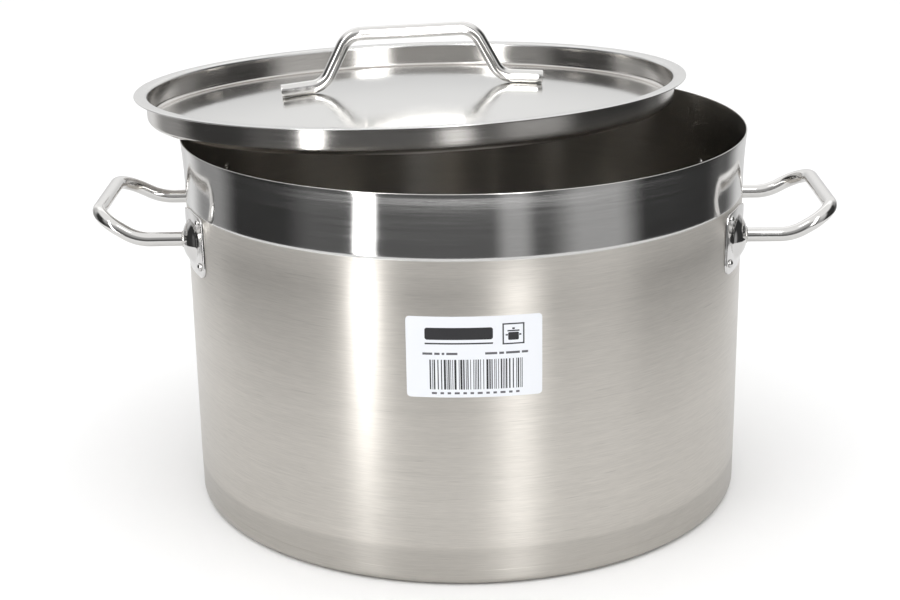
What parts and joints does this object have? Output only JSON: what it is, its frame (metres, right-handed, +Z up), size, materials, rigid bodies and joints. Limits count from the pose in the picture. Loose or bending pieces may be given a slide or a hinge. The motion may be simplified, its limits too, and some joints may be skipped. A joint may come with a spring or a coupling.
{
  "type": "stock pot",
  "caption": "Cylindrical steel stock pot with a mirror band, riveted loop handles, encapsulated base, paper label and a dish lid lying ajar with a bent tube handle.",
  "frame": {"origin": "centre of the underside of the base, on the pot's axis", "axes": "+Z up along the pot's axis; the side handles lie along +X and -X; -Y is the front, where the label is"},
  "size_m": [0.5271, 0.4762, 0.3268],
  "materials": {
    "brushed_body": "circumferentially brushed, with a mirror-polished band below the rim",
    "lid_steel": "satin brushed",
    "base_steel": "satin",
    "core": "plain, sealed inside",
    "mirror_plate": "mirror polished",
    "polished_tube": "mirror polished",
    "rivet": "polished",
    "weld": "polished weld bead",
    "label": null
  },
  "bodies": {
    "pot": {"pot_shell": "brushed_body", "base_core": "core", "base_cap": "base_steel", "label": "label", "handle_left": "polished_tube", "handle_right": "polished_tube", "bracket_left_front": "mirror_plate", "weld_left_front": "weld", "rivets_left_front": "rivet", "bracket_left_rear": "mirror_plate", "weld_left_rear": "weld", "rivets_left_rear": "rivet", "bracket_right_front": "mirror_plate", "weld_right_front": "weld", "rivets_right_front": "rivet", "bracket_right_rear": "mirror_plate", "weld_right_rear": "weld", "rivets_right_rear": "rivet"},
    "lid": {"lid_shell": "lid_steel", "lid_handle": "polished_tube"}
  },
  "joints": [
    {"name": "lid_lift", "type": "slide", "parent": "pot", "child": "lid", "axis": [0, 0, 1], "range_m": [0, 0.25]}
  ]
}
